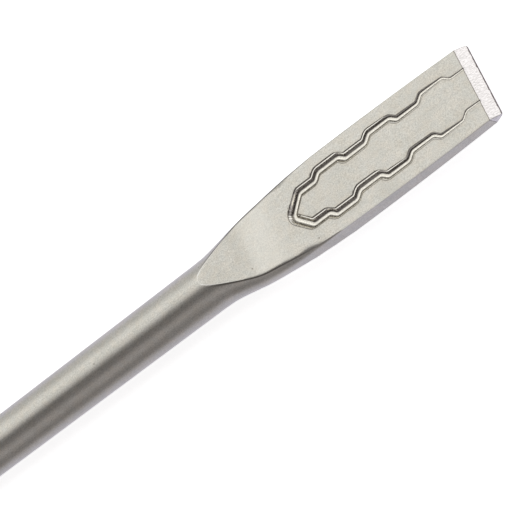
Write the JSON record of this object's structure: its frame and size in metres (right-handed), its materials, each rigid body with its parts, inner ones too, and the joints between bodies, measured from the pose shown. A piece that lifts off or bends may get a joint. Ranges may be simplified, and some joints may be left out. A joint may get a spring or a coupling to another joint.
{
  "type": "sds flat chisel",
  "caption": "Flat chisel for a rotary hammer: slotted quick-change shank, round rod, forged neck and a flat blade with a stepped groove and a ground edge.",
  "frame": {"origin": "centre of the struck end face, on the axis of the shank", "axes": "+X along the tool from the struck end to the cutting edge, +Y across the blade's width, +Z square to the blade's flat faces"},
  "size_m": [0.25, 0.0214, 0.014],
  "materials": {
    "blasted_steel": "drop-forged, hardened and shot-blasted tool steel, satin, with a ground bevel at the cutting edge"
  },
  "bodies": {
    "root": {"flat_chisel": "blasted_steel"}
  },
  "joints": []
}
